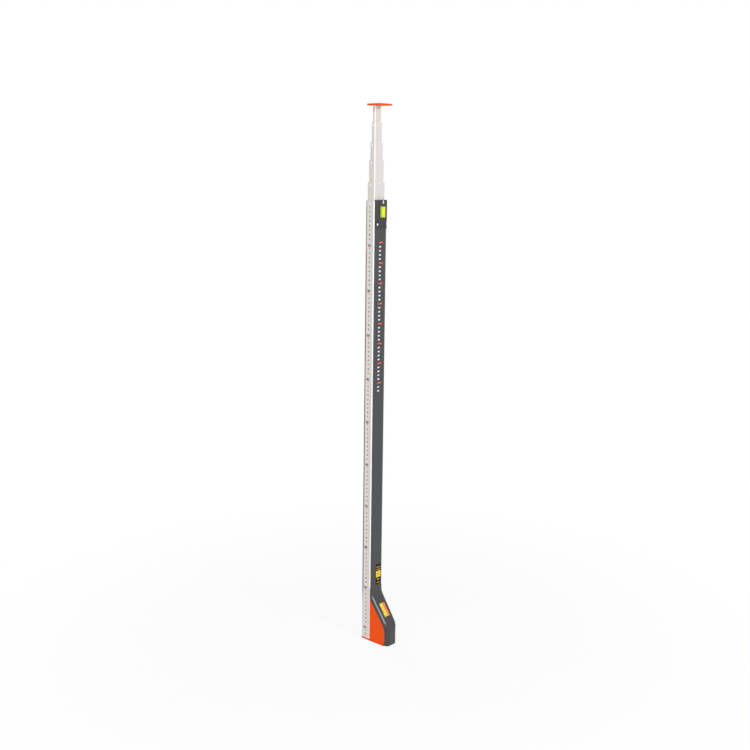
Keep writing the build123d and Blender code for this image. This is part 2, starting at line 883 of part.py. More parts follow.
def make_tape_guide_run():
    # the stretch seen through the window, then round the roller to the vertical
    half = tape_t / 2
    end_z = roller_z + roller_r
    near = (leave_y - slope_out[0] * half, leave_z - slope_out[1] * half)
    far = (leave_y + slope_out[0] * half, leave_z + slope_out[1] * half)
    touch_near = (touch_y - slope_out[0] * half, touch_z - slope_out[1] * half)
    touch_far = (touch_y + slope_out[0] * half, touch_z + slope_out[1] * half)
    lean = math.degrees(math.atan2(-slope_out[1], -slope_out[0]))
    lines = [
        Line(near, touch_near),
        CenterArc((roller_y, roller_z), roller_reach + half, lean, -lean),
        Line((half, roller_z), (half, end_z)),
        Line((half, end_z), (-half, end_z)),
        Line((-half, end_z), (-half, roller_z)),
        CenterArc((roller_y, roller_z), roller_reach - half, lean, -lean),
        Line(touch_far, far),
        Line(far, near),
    ]
    return side_prism(make_face(lines), tape_low_x, tape_high_x)


def make_tape_mast_low():
    return block(tape_low_x, tape_high_x, -tape_t / 2, tape_t / 2, roller_z + roller_r, tape_split_z)


def make_tape_mast_high():
    middle = tape_side_step
    return block(
        tape_low_x, tape_high_x, middle - tape_t / 2, middle + tape_t / 2,
        tape_split_z, plate_z - top_plug_h + tape_pocket_h - seat_clearance,
    )


# Roller

roller_low_x = tape_low_x - roller_side
roller_high_x = tape_high_x + roller_side
cheek_low_x = roller_low_x - roller_end_gap
cheek_high_x = roller_high_x + roller_end_gap


def make_guide_roller():
    roller = rod_x(roller_y, roller_z, roller_r, roller_low_x, roller_high_x)
    return roller - rod_x(roller_y, roller_z, pin_r + axle_clearance, roller_low_x, roller_high_x)


def make_roller_pin():
    return rod_x(roller_y, roller_z, pin_r, cheek_low_x - pin_grip, cheek_high_x + pin_grip)


def make_roller_block():
    body = bore_filler(1, block_bottom_z, block_top_z)
    body -= block(cheek_low_x, cheek_high_x, -outer_d, block_back_y, block_bottom_z, block_top_z)
    hole_r = pin_r + seat_clearance
    body -= rod_x(roller_y, roller_z, hole_r, cheek_low_x - pin_grip, cheek_high_x + pin_grip)
    for side in (-1, 1):
        tip = hollow_back + housing_screw_length
        body -= rod_y(side * housing_screw_x, housing_screw_high_z, screw_r + screw_fit, tube_front, tip)
    return body


# Top end

def anchor_shape(grow):
    face = -tube_size(sections)[0] / 2
    z = plate_z - anchor_drop
    plane = Plane.YZ.offset(face) * Pos(0, z)
    cone = plane * Cone(anchor_head_r + grow, anchor_shank_r + grow, inner_wall, align=standing)
    return cone + rod_x(0, z, anchor_shank_r + grow, face + inner_wall, face + anchor_length)


def make_anchor_screw():
    face = -tube_size(sections)[0] / 2
    z = plate_z - anchor_drop
    half = drive_w / 2
    slot = block(face, face + drive_depth, -anchor_head_r, anchor_head_r, z - half, z + half)
    return anchor_shape(0) - slot


def make_top_plug():
    low = plate_z - top_plug_h
    plug = bore_filler(sections, low, plate_z)
    plug -= block(
        tape_low_x - reel_side_gap, tape_high_x + reel_side_gap,
        tape_side_step - tape_pocket_t / 2, tape_side_step + tape_pocket_t / 2,
        low, low + tape_pocket_h,
    )
    plug -= anchor_shape(screw_fit)
    for side in (-1, 1):
        end = plate_z + plate_t - flush_screw_sink - plate_screw_length
        plug -= rod_z(side * plate_screw_x, 0, plate_screw_r + screw_fit, end, plate_z)
    return plug


def make_top_plate():
    depth = plate_back_y - plate_front_y
    plate = raised(RectangleRounded(plate_w, depth, plate_corner_r), plate_t)
    plate = Pos(0, (plate_back_y + plate_front_y) / 2, plate_z) * plate
    plate = fillet(plate.faces().sort_by(Axis.Z)[-1].edges(), plate_edge_r)
    top = plate_z + plate_t
    flat = top - flush_screw_sink
    for x in (-plate_screw_x, plate_screw_x):
        plate -= flush_hole(x, 0, top, flat, plate_z, plate_screw_r, plate_screw_head_r)
    return plate


def make_plate_screws():
    flat = plate_z + plate_t - flush_screw_sink
    return Compound(children=[
        flush_screw(x, 0, flat, -1, plate_screw_length, plate_screw_r, plate_screw_head_r)
        for x in (-plate_screw_x, plate_screw_x)
    ])


# Write every piece

os.makedirs("parts", exist_ok=True)

write("outer_tube", make_outer_tube())
write("scale_strip", make_scale_strip())
write("front_cover", make_front_cover())
write("label_plate", make_label_plate())
write("top_cap", make_top_cap())
write("cap_screw", make_cap_screw())
write("level_vial", make_level_vial())
write("vial_plug", make_vial_plug())
write("vial_fluid", make_vial_fluid())
write("base_plate", make_base_plate())
write("base_screws", make_base_screws())
write("base_plug", make_base_plug())
write("foot_housing", finish_foot_housing(make_foot_housing()))
write("side_cover_left", make_side_cover(-1))
write("side_cover_right", make_side_cover(1))
write("housing_screws", make_housing_screws())
write("reading_window", make_reading_window())
write("index_plate", make_index_plate())
write("reel_axle", make_reel_axle())
write("reel_spool", make_reel_spool())
write("tape_winding", make_tape_winding())
write("return_spring", make_return_spring())
write("tape_guide_run", make_tape_guide_run())
write("tape_mast_low", make_tape_mast_low())
write("tape_mast_high", make_tape_mast_high())
write("guide_roller", make_guide_roller())
write("roller_pin", make_roller_pin())
write("roller_block", make_roller_block())
write("guide_bush_1", make_guide_bush(1) + make_cap_key())
for k in range(2, sections):
    write(f"guide_bush_{k}", make_guide_bush(k))
for k in range(1, sections):
    write(f"brake_button_{k}", make_button(k))
for k in range(2, sections + 1):
    write(f"section_{k}_tube", make_section_tube(k))
    write(f"glide_shoe_{k}", make_glide_shoe(k))
write("top_plug", make_top_plug())
write("anchor_screw", make_anchor_screw())
write("top_plate", make_top_plate())
write("plate_screws", make_plate_screws())
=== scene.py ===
import json
import math

import bmesh
import bpy
from mathutils import Matrix, Vector


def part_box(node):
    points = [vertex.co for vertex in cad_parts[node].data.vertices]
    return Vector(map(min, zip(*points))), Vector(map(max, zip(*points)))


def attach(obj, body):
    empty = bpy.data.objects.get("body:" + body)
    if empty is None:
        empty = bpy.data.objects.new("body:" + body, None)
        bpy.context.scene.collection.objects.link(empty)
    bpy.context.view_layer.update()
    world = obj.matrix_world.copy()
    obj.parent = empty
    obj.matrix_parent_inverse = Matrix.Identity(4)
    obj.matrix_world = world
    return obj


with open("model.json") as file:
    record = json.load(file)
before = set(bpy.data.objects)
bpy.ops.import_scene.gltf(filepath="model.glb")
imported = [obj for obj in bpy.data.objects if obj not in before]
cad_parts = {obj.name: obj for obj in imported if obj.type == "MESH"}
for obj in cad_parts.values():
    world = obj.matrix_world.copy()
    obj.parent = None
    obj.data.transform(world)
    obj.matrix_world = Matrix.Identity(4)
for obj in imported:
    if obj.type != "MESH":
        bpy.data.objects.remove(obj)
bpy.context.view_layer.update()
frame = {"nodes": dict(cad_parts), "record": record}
nodes = frame["nodes"]
scene = bpy.context.scene
mm = 0.001
centimetre = 10 * mm
print("frame loaded,", len(nodes), "pieces of the rod")


# node trees, for finishes and for geometry

class Wire:
    # one socket of a node tree; sums and comparisons of wires add Math nodes

    def __init__(self, tree, socket=None):
        self.tree = tree
        self.socket = socket

    def node(self, kind, settings=None, plugs=None, out=0):
        made = self.tree.nodes.new(kind)
        for name, value in (settings or {}).items():
            setattr(made, name, value)
        for key, value in (plugs or {}).items():
            if isinstance(value, Wire):
                self.tree.links.new(value.socket, made.inputs[key])
            else:
                made.inputs[key].default_value = value
        return Wire(self.tree, made.outputs[out])

    def maths(self, operation, first, second=0.0):
        return self.node("ShaderNodeMath", {"operation": operation}, {0: first, 1: second})

    def __add__(self, other):
        return self.maths("ADD", self, other)

    def __radd__(self, other):
        return self.maths("ADD", other, self)

    def __sub__(self, other):
        return self.maths("SUBTRACT", self, other)

    def __rsub__(self, other):
        return self.maths("SUBTRACT", other, self)

    def __mul__(self, other):
        return self.maths("MULTIPLY", self, other)

    def __rmul__(self, other):
        return self.maths("MULTIPLY", other, self)

    def __mod__(self, other):
        return self.maths("FLOORED_MODULO", self, other)

    def __lt__(self, other):
        return self.maths("LESS_THAN", self, other)

    def __gt__(self, other):
        return self.maths("GREATER_THAN", self, other)


def newFinish(name, fixed):
    material = bpy.data.materials.new(name)
    material.use_nodes = True
    tree = material.node_tree
    shader = tree.nodes["Principled BSDF"]
    for key, value in fixed.items():
        shader.inputs[key].default_value = value
    place = Wire(tree).node("ShaderNodeTexCoord", out="Object")
    return material, shader, place


def feed(shader, key, wire):
    wire.tree.links.new(wire.socket, shader.inputs[key])


def noise(place, scale, detail=2.0, stretch=None):
    if stretch:
        place = place.node("ShaderNodeMapping", plugs={"Vector": place, "Scale": stretch})
    return place.node("ShaderNodeTexNoise", plugs={"Vector": place, "Scale": scale, "Detail": detail})


def band(wire, low, high):
    # 0 at low, 1 at high, smooth between
    plugs = {"Value": wire, "From Min": low, "From Max": high}
    return wire.node("ShaderNodeMapRange", {"interpolation_type": "SMOOTHSTEP"}, plugs)


def tone(share, first, second):
    # a colour between two others, each a tuple or a wire
    first = first if isinstance(first, Wire) else (*first, 1.0)
    second = second if isinstance(second, Wire) else (*second, 1.0)
    return share.node("ShaderNodeMix", {"data_type": "RGBA"}, {0: share, 6: first, 7: second}, 2)


def shade(colour, factor):
    return [min(1.0, c * factor) for c in colour]


def along(place, axis):
    return place.node("ShaderNodeSeparateXYZ", plugs={0: place}, out=axis)


def bumps(shader, height, strength, depth):
    plugs = {"Height": height, "Strength": strength, "Distance": depth}
    feed(shader, "Normal", height.node("ShaderNodeBump", plugs=plugs))


# finishes

tubeLook = {
    "colour": (0.650, 0.617, 0.597), "spread": 0.07, "metal": 0.10, "gloss": 0.3, "rough": 0.42,
    "lines": (1100, 1100, 2.5), "lineBand": (0.3, 0.7), "streaks": (140, 140, 1.2), "clouds": 16.0,
    "lineShare": 0.45, "streakShare": 0.35, "cloudShare": 0.20, "lineRough": 0.14, "cloudRough": 0.08,
    "bump": 0.10, "bumpDepth": 0.05 * mm, "tipTint": (1.0, 0.965, 0.945),
    # the corner colour and widths are a painted highlight on the tubes' rounded corners
    "cornerHighlight": (0.93, 0.91, 0.895), "cornerHighlightWide": 1.5 * mm, "outerCornerHighlight": 2.6 * mm,
    # the edge colour and bands are painted shade along the outer tube's rear-left edge
    "edgeDark": (0.078, 0.042, 0.022), "edgeWide": 3.3 * mm, "edgeSoft": 0.5 * mm,
    "edgeFade": (0.075, 0.135), "edgeThin": (0.88, 0.97), "edgePale": 0.3,
}


def drawnAluminium(name, tube, cornerHighlightWide, tint=(1.0, 1.0, 1.0), darkEdge=False):
    look = tubeLook
    fixed = {"Metallic": look["metal"], "Specular IOR Level": look["gloss"]}
    material, shader, place = newFinish(name, fixed)
    lines = band(noise(place, 1.0, 4.0, look["lines"]), *look["lineBand"])
    streaks = noise(place, 1.0, 2.0, look["streaks"])
    cloud = noise(place, look["clouds"], 3.0)
    colour = [a * b for a, b in zip(look["colour"], tint)]
    light = shade(colour, 1 + look["spread"])
    dark = shade(colour, 1 - look["spread"])
    share = lines * look["lineShare"] + streaks * look["streakShare"] + cloud * look["cloudShare"]
    drawn = tone(share, dark, light)
    # painted highlight: the four rounded corners are made lighter, standing in for the lamp's highlight on
    # them
    low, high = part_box(tube)
    x, y, z = (along(place, axis) for axis in "XYZ")
    nearCorner = 1.0
    for wire, first, last in ((x, low.x, high.x), (y, low.y, high.y)):
        aside = wire.maths("ABSOLUTE", wire - (first + last) / 2)
        half = (last - first) / 2
        nearCorner = band(aside, half - cornerHighlightWide, half - cornerHighlightWide / 2) * nearCorner
    drawn = tone(nearCorner, drawn, look["cornerHighlight"])
    if darkEdge:
        # painted shade: a brown line along one upright edge, standing in for the dark rear corner, thin at
        # the top and gone at the foot
        back = high.y - look["edgeWide"]
        left = low.x + look["edgeWide"]
        nearBack = band(y, back, back + look["edgeSoft"])
        nearLeft = 1.0 - band(x, left - look["edgeSoft"], left)
        strength = band(z, *look["edgeFade"]) * (1.0 - look["edgePale"] * band(z, *look["edgeThin"]))
        drawn = tone(nearBack * nearLeft * strength, drawn, look["edgeDark"])
    feed(shader, "Base Color", drawn)
    feed(shader, "Roughness", look["rough"] + lines * look["lineRough"] + cloud * look["cloudRough"])
    bumps(shader, lines, look["bump"], look["bumpDepth"])
    return material


plasticLook = {
    "grain": 2100, "clouds": 22.0, "scratches": (260, 260, 55), "scratchBand": (0.66, 0.80),
    "cloudShare": 0.7, "grainShare": 0.3, "dark": 0.90, "light": 1.10, "scuffed": 1.30,
    "smoother": 0.07, "cloudRough": 0.12, "scratchRough": 0.10, "bump": 0.35,
    "housing": (0.046, 0.034, 0.031), "cap": (0.027, 0.025, 0.028), "coolSheen": (0.74, 0.88, 1.0),
    "orange": (0.82, 0.082, 0.004), "index": (0.98, 0.36, 0.085),
    "bush": (0.74, 0.72, 0.70), "shoe": (0.055, 0.055, 0.057), "white": (0.88, 0.88, 0.865),
    "reel": (0.14, 0.14, 0.145),
}


def mouldedPlastic(name, colour, rough=0.50, grainDepth=0.06 * mm, scuff=0.35, gloss=0.45, sheen=(1, 1, 1)):
    look = plasticLook
    material, shader, place = newFinish(name, {"Specular IOR Level": gloss, "Specular Tint": (*sheen, 1)})
    grain = noise(place, look["grain"], 2.0)
    cloud = noise(place, look["clouds"], 4.0)
    scratch = band(noise(place, 1.0, 3.0, look["scratches"]), *look["scratchBand"])
    share = cloud * look["cloudShare"] + grain * look["grainShare"]
    base = tone(share, shade(colour, look["dark"]), shade(colour, look["light"]))
    feed(shader, "Base Color", tone(scratch * scuff, base, shade(colour, look["scuffed"])))
    smooth = rough - look["smoother"]
    feed(shader, "Roughness", smooth + cloud * look["cloudRough"] + scratch * look["scratchRough"])
    bumps(shader, grain, look["bump"], grainDepth)
    return material


coverLook = {
    "colour": (0.040, 0.043, 0.047), "lift": (0.052, 0.055, 0.060), "dust": (0.30, 0.30, 0.30), "gloss": 0.4,
    "peel": 900.0, "rubbed": (90, 90, 5), "specks": 700.0, "speckBand": (0.70, 0.78), "speckShare": 0.10,
    "rough": 0.41, "rubRough": 0.14, "bump": 0.25, "bumpDepth": 0.05 * mm,
}


def coverPaint(name):
    look = coverLook
    material, shader, place = newFinish(name, {"Specular IOR Level": look["gloss"]})
    peel = noise(place, look["peel"], 2.0)
    rubbed = noise(place, 1.0, 3.0, look["rubbed"])
    dust = band(noise(place, look["specks"], 1.0), *look["speckBand"])
    colour = tone(rubbed, look["colour"], look["lift"])
    feed(shader, "Base Color", tone(dust * look["speckShare"], colour, look["dust"]))
    feed(shader, "Roughness", look["rough"] + rubbed * look["rubRough"])
    bumps(shader, peel, look["bump"], look["bumpDepth"])
    return material


stripLook = {
    "white": (0.74, 0.715, 0.69), "yellowed": (0.69, 0.66, 0.63), "speck": (0.58, 0.56, 0.54), "gloss": 0.4,
    "clouds": 30.0, "specks": 1500.0, "speckShare": 0.12, "rough": 0.40, "cloudRough": 0.15,
    "bump": 0.12, "bumpDepth": 0.02 * mm,
}


def printedStrip(name):
    look = stripLook
    material, shader, place = newFinish(name, {"Specular IOR Level": look["gloss"]})
    cloud = noise(place, look["clouds"], 4.0)
    fine = noise(place, look["specks"], 1.0)
    colour = tone(cloud, look["yellowed"], look["white"])
    feed(shader, "Base Color", tone(fine * look["speckShare"], colour, look["speck"]))
    feed(shader, "Roughness", look["rough"] + cloud * look["cloudRough"])
    bumps(shader, fine, look["bump"], look["bumpDepth"])
    return material


inkLook = {
    "patches": 1900.0, "thinBand": (0.52, 0.75), "ground": 0.75, "groundShare": 0.08, "thinRough": 0.15,
}


def printInk(name, colour, rough=0.45, gloss=0.3):
    # ink is a little thin in places, where some of the ground shows through
    look = inkLook
    material, shader, place = newFinish(name, {"Specular IOR Level": gloss})
    thin = noise(place, look["patches"], 3.0)
    pale = [c + (look["ground"] - c) * look["groundShare"] for c in colour]
    feed(shader, "Base Color", tone(band(thin, *look["thinBand"]), colour, pale))
    feed(shader, "Roughness", rough + thin * look["thinRough"])
    return material


edgeShadeLook = {
    "patches": 500.0, "stretch": (1, 1, 0.05), "thinShare": 0.2,
    "gloss": 0.3, "rough": 0.40, "thinRough": 0.15,
}


def edgeInk(name):
    # painted shade along the strip's rear edge: brown, paler towards the mouth of the tube and gone at the
    # foot
    look = edgeShadeLook
    material, shader, place = newFinish(name, {"Specular IOR Level": look["gloss"]})
    thin = noise(place, look["patches"], 3.0, look["stretch"])
    z = along(place, "Z")
    pale = band(z, *tubeLook["edgeThin"]) * tubeLook["edgePale"] + thin * look["thinShare"]
    brown = tone(pale, tubeLook["edgeDark"], stripLook["yellowed"])
    feed(shader, "Base Color", tone(band(z, *tubeLook["edgeFade"]), stripLook["yellowed"], brown))
    feed(shader, "Roughness", look["rough"] + thin * look["thinRough"])
    return material


steelLook = {
    "bright": (0.66, 0.65, 0.64), "dull": (0.50, 0.49, 0.49), "turned": (2600, 500, 2600), "stains": 240.0,
    "turnedShare": 0.5, "stainShare": 0.5, "rough": 0.22, "stainRough": 0.2,
    "bump": 0.15, "bumpDepth": 0.02 * mm,
}


def platedSteel(name, lightness=1.0):
    look = steelLook
    material, shader, place = newFinish(name, {"Metallic": 1.0})
    turned = noise(place, 1.0, 3.0, look["turned"])
    stain = noise(place, look["stains"], 3.0)
    share = turned * look["turnedShare"] + stain * look["stainShare"]
    colour = tone(share, shade(look["dull"], lightness), shade(look["bright"], lightness))
    feed(shader, "Base Color", colour)
    feed(shader, "Roughness", look["rough"] + stain * look["stainRough"])
    bumps(shader, turned, look["bump"], look["bumpDepth"])
    return material


tapeLook = {
    "paint": (1.0, 0.82, 0.078), "thin": (0.98, 0.75, 0.060), "gloss": 0.3, "coat": 0.15, "coatRough": 0.2,
    "clouds": 60.0, "specks": 2400.0, "cloudShare": 0.7, "speckShare": 0.3, "rough": 0.34, "cloudRough": 0.16,
    "bump": 0.10, "bumpDepth": 0.01 * mm,
}


def tapePaint(name):
    look = tapeLook
    fixed = {
        "Specular IOR Level": look["gloss"], "Coat Weight": look["coat"],
        "Coat Roughness": look["coatRough"],
    }
    material, shader, place = newFinish(name, fixed)
    cloud = noise(place, look["clouds"], 4.0)
    fine = noise(place, look["specks"], 2.0)
    share = cloud * look["cloudShare"] + fine * look["speckShare"]
    feed(shader, "Base Color", tone(share, look["thin"], look["paint"]))
    feed(shader, "Roughness", look["rough"] + cloud * look["cloudRough"])
    bumps(shader, fine, look["bump"], look["bumpDepth"])
    return material


vialLook = {
    "front": (0.93, 0.80, 0.095), "sideRear": (0.57, 0.76, 0.03), "sideEdge": (0.10, 0.50, 0.03),
    "top": (0.93, 0.93, 0.55), "edge": 0.6 * mm, "rearBand": (0.34, 0.42), "topShare": 0.8,
    "swirls": 130.0, "sideShare": 0.8, "sideSwirl": 0.2, "frontGlow": 0.12, "sideGlow": 0.40,
    "clear": 0.20, "clearShare": 0.6, "clearSwirl": 0.8, "middleClear": 0.50,
    "middle": 2.0 * mm, "middleSoft": 0.4 * mm, "rough": 0.12, "gloss": 0.25, "coat": 0.1,
}


def vialAcrylic(name):
    # clear block: yellow on the front and green along the edges of its sides, that green partly the acrylic's
    # colour and partly painted shade; a paler top as painted highlight
    look = vialLook
    fixed = {
        "Roughness": look["rough"], "Specular IOR Level": look["gloss"], "Coat Weight": look["coat"],
        "Emission Strength": 1.0,
    }
    material, shader, place = newFinish(name, fixed)
    low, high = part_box("level_vial")
    edge = look["edge"]
    x, y, z = (along(place, axis) for axis in "XYZ")
    onSide = (x < low.x + edge) + (x > high.x - edge)
    swirl = noise(place, look["swirls"], 2.0)
    toRear = band(y, *(low.y + (high.y - low.y) * share for share in look["rearBand"]))
    side = tone(toRear, look["sideEdge"], look["sideRear"])
    colour = tone(onSide * (look["sideShare"] + swirl * look["sideSwirl"]), look["front"], side)
    # painted highlight: the top face is made paler
    colour = tone((z > high.z - edge) * look["topShare"], colour, look["top"])
    # painted light: a glow, stronger on the sides, lifts the faces shaded by the pocket
    glow = tone(onSide, [look["frontGlow"]] * 3, [look["sideGlow"]] * 3)
    mixing = {"data_type": "RGBA", "blend_type": "MULTIPLY"}
    feed(shader, "Base Color", colour)
    feed(shader, "Emission Color", glow.node("ShaderNodeMix", mixing, {0: 1.0, 6: glow, 7: colour}, 2))
    # clearest over the tube in the middle, so that its rings and bubble show
    aside = x.maths("ABSOLUTE", x - (low.x + high.x) / 2)
    over = (1.0 - band(aside, look["middle"] - look["middleSoft"], look["middle"])) * (1.0 - onSide)
    clear = look["clear"] * (look["clearShare"] + swirl * look["clearSwirl"])
    feed(shader, "Alpha", 1.0 - clear - over * look["middleClear"])
    return material


spiritLook = {
    "low": (0.66, 0.80, 0.05), "high": (0.82, 0.90, 0.09),
    "glow": 0.2, "rough": 0.05, "coat": 1.0, "alpha": 0.9,
}


def vialSpirit(name):
    look = spiritLook
    # painted light: the spirit is given a glow in its own colour
    fixed = {
        "Roughness": look["rough"], "Coat Weight": look["coat"],
        "Emission Strength": look["glow"], "Alpha": look["alpha"],
    }
    material, shader, place = newFinish(name, fixed)
    low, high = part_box("vial_fluid")
    colour = tone(band(along(place, "Z"), low.z, high.z), look["low"], look["high"])
    feed(shader, "Base Color", colour)
    feed(shader, "Emission Color", colour)
    return material


paneLook = {
    "colour": (0.95, 0.97, 0.97), "rough": 0.04, "haze": 420.0, "hazeBand": (0.60, 0.90), "hazeShare": 0.03,
    "blend": 0.2, "glossShare": 0.20, "least": 0.01,
}


def lensPane(name):
    # a thin clear pane: mostly see-through, with the gloss of its front
    look = paneLook
    fixed = {"Base Color": (*look["colour"], 1), "Roughness": look["rough"]}
    material, shader, place = newFinish(name, fixed)
    tree = material.node_tree
    haze = band(noise(place, look["haze"], 4.0), *look["hazeBand"])
    gloss = place.node("ShaderNodeLayerWeight", plugs={"Blend": look["blend"]}, out="Fresnel")
    clear = place.node("ShaderNodeBsdfTransparent")
    share = look["least"] + gloss * look["glossShare"] + haze * look["hazeShare"]
    solid = Wire(tree, shader.outputs[0])
    pane = share.node("ShaderNodeMixShader", plugs={0: share, 1: clear, 2: solid})
    tree.links.new(pane.socket, tree.nodes["Material Output"].inputs["Surface"])
    return material


finishOf = {
    "scale_print": printedStrip("stripPrint"),
    "cover_grey": coverPaint("coverPaint"),
    "housing_plastic": mouldedPlastic(
        "housingPlastic", plasticLook["housing"], rough=0.30, grainDepth=0.02 * mm, scuff=0.25, gloss=0.60,
        sheen=plasticLook["coolSheen"]),
    "orange_plastic": mouldedPlastic(
        "orangePlastic", plasticLook["orange"], rough=0.48, grainDepth=0.03 * mm, scuff=0.15, gloss=0.12),
    "label_black": printInk("labelBlack", (0.010, 0.009, 0.008), rough=0.5, gloss=0.1),
    "button_white": mouldedPlastic(
        "buttonWhite", plasticLook["white"], rough=0.30, grainDepth=0.01 * mm, scuff=0.1),
    "bush_plastic": mouldedPlastic(
        "bushPlastic", plasticLook["bush"], rough=0.48, grainDepth=0.03 * mm, scuff=0.2),
    "shoe_plastic": mouldedPlastic("shoePlastic", plasticLook["shoe"]),
    "vial_acrylic": vialAcrylic("vialAcrylic"),
    "vial_spirit": vialSpirit("vialSpirit"),
    "window_clear": lensPane("lensPane"),
    "tape_yellow": tapePaint("tapePaint"),
    "reel_plastic": mouldedPlastic("reelPlastic", plasticLook["reel"]),
    "screw_steel": platedSteel("screwSteel"),
    "spring_steel": platedSteel("springSteel", lightness=0.7),
}
ownFinish = {
    "outer_tube": drawnAluminium("outerAluminium", "outer_tube", tubeLook["outerCornerHighlight"], darkEdge=True),
    "section_6_tube": drawnAluminium(
        "aluminium6", "section_6_tube", tubeLook["cornerHighlightWide"], tint=tubeLook["tipTint"]),
    "top_cap": mouldedPlastic("capPlastic", plasticLook["cap"], rough=0.42),
    "cap_screw": platedSteel("capSteel", lightness=1.35),
    "anchor_screw": platedSteel("anchorSteel", lightness=0.55),
    "index_plate": mouldedPlastic(
        "indexPlastic", plasticLook["index"], rough=0.42, grainDepth=0.01 * mm, scuff=0.1, gloss=0.2),
}
for section in range(2, 6):
    tube = f"section_{section}_tube"
    ownFinish[tube] = drawnAluminium(f"aluminium{section}", tube, tubeLook["cornerHighlightWide"])
inkBlack = printInk("inkBlack", (0.022, 0.020, 0.019))
inkGrey = printInk("inkGrey", (0.16, 0.15, 0.145))
inkBrown = printInk("inkBrown", (0.26, 0.11, 0.012))
inkRed = printInk("inkRed", (0.78, 0.030, 0.010))
inkWhite = printInk("inkWhite", (0.80, 0.80, 0.79))
inkYellow = printInk("inkYellow", (0.84, 0.60, 0.045))
inkAmber = printInk("inkAmber", (0.62, 0.30, 0.022))
inkOrange = printInk("inkOrange", (0.88, 0.105, 0.008))
edgeShade = edgeInk("edgeShade")

for part in frame["record"]["subparts"]:
    name = part["node"]
    finish = ownFinish.get(name) or finishOf[part["material_slot"]]
    nodes[name].data.materials.clear()
    nodes[name].data.materials.append(finish)
print("finishes set on", len(nodes), "pieces")


# building and placing meshes

def placed(right, up, out, origin):
    # local X, Y and Z of a flat drawing, and where its origin goes
    turn = Matrix((right, up, out)).transposed().to_4x4()
    return Matrix.Translation(origin) @ turn


def ridePiece(name, mesh, material, body):
    mesh.name = name
    mesh.materials.clear()
    mesh.materials.append(material)
    piece = bpy.data.objects.new(name, mesh)
    scene.collection.objects.link(piece)
    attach(piece, body)


def meshOf(bm, name):
    bmesh.ops.remove_doubles(bm, verts=bm.verts, dist=1e-7)
    bmesh.ops.recalc_face_normals(bm, faces=bm.faces)
    mesh = bpy.data.meshes.new(name)
    bm.to_mesh(mesh)
    bm.free()
    return mesh


def printOn(face, name, bm, material, body):
    # a flat drawing, carried to the face that it is printed on
    mesh = meshOf(bm, name)
    mesh.transform(face)
    ridePiece(name, mesh, material, body)


def addPrism(bm, outline, low, high):
    # an outline in local X and Y, carried from low to high along local Z
    floor = [bm.verts.new((x, y, low)) for x, y in outline]
    roof = [bm.verts.new((x, y, high)) for x, y in outline]
    bm.faces.new(list(reversed(floor)))
    bm.faces.new(roof)
    for i in range(len(outline)):
        j = (i + 1) % len(outline)
        bm.faces.new((floor[i], floor[j], roof[j], roof[i]))


def addRing(bm, centre, inner, outer, low, high, steps=32):
    loops = []
    turns = [2 * math.pi * i / steps for i in range(steps)]
    for radius, z in ((inner, low), (outer, low), (outer, high), (inner, high)):
        spots = [(centre[0] + radius * math.cos(t), centre[1] + radius * math.sin(t), z) for t in turns]
        loops.append([bm.verts.new(spot) for spot in spots])
    for k in range(4):
        here, there = loops[k], loops[(k + 1) % 4]
        for i in range(steps):
            j = (i + 1) % steps
            bm.faces.new((here[i], here[j], there[j], there[i]))


def arcPoints(centre, radius, start, end, steps):
    turns = [math.radians(start + (end - start) * i / steps) for i in range(steps + 1)]
    return [(centre[0] + radius * math.cos(t), centre[1] + radius * math.sin(t)) for t in turns]


def circlePoints(centre, radius, steps=24):
    return arcPoints(centre, radius, 0, 360 - 360 / steps, steps - 1)


def roundedBar(w, h, radius, centre=(0, 0), steps=6):
    outline = []
    for right, up, start in ((1, 1, 0), (-1, 1, 90), (-1, -1, 180), (1, -1, 270)):
        corner = (centre[0] + right * (w / 2 - radius), centre[1] + up * (h / 2 - radius))
        outline += arcPoints(corner, radius, start, start + 90, steps)
    return outline


numberMeshes = {}


def numberMesh(text, size, bold, thick):
    key = (text, size)
    if key not in numberMeshes:
        curve = bpy.data.curves.new("number", "FONT")
        curve.body = text
        curve.size = size
        curve.align_x = "CENTER"
        curve.align_y = "CENTER"
        curve.resolution_u = 3
        curve.offset = bold
        curve.extrude = thick / 2
        holder = bpy.data.objects.new("number", curve)
        scene.collection.objects.link(holder)
        shown = holder.evaluated_get(bpy.context.evaluated_depsgraph_get())
        numberMeshes[key] = bpy.data.meshes.new_from_object(shown)
        bpy.data.objects.remove(holder)
        bpy.data.curves.remove(curve)
    return numberMeshes[key]


def addNumber(bm, text, size, bold, thick, x, y):
    mesh = numberMesh(text, size, bold, thick).copy()
    mesh.transform(Matrix.Translation((x, y, 0)))
    bm.from_mesh(mesh)
    bpy.data.meshes.remove(mesh)


# rows of printed ticks: one tree, with its own sizes for each scale

tickInputs = (
    ("Count", "NodeSocketInt"), ("First", "NodeSocketInt"), ("Pitch", "NodeSocketFloat"),
    ("Fine", "NodeSocketFloat"), ("Half", "NodeSocketFloat"), ("Whole", "NodeSocketFloat"),
    ("Long", "NodeSocketFloat"), ("Width", "NodeSocketFloat"), ("Bold", "NodeSocketFloat"),
    ("Thick", "NodeSocketFloat"), ("Ink", "NodeSocketMaterial"),
)


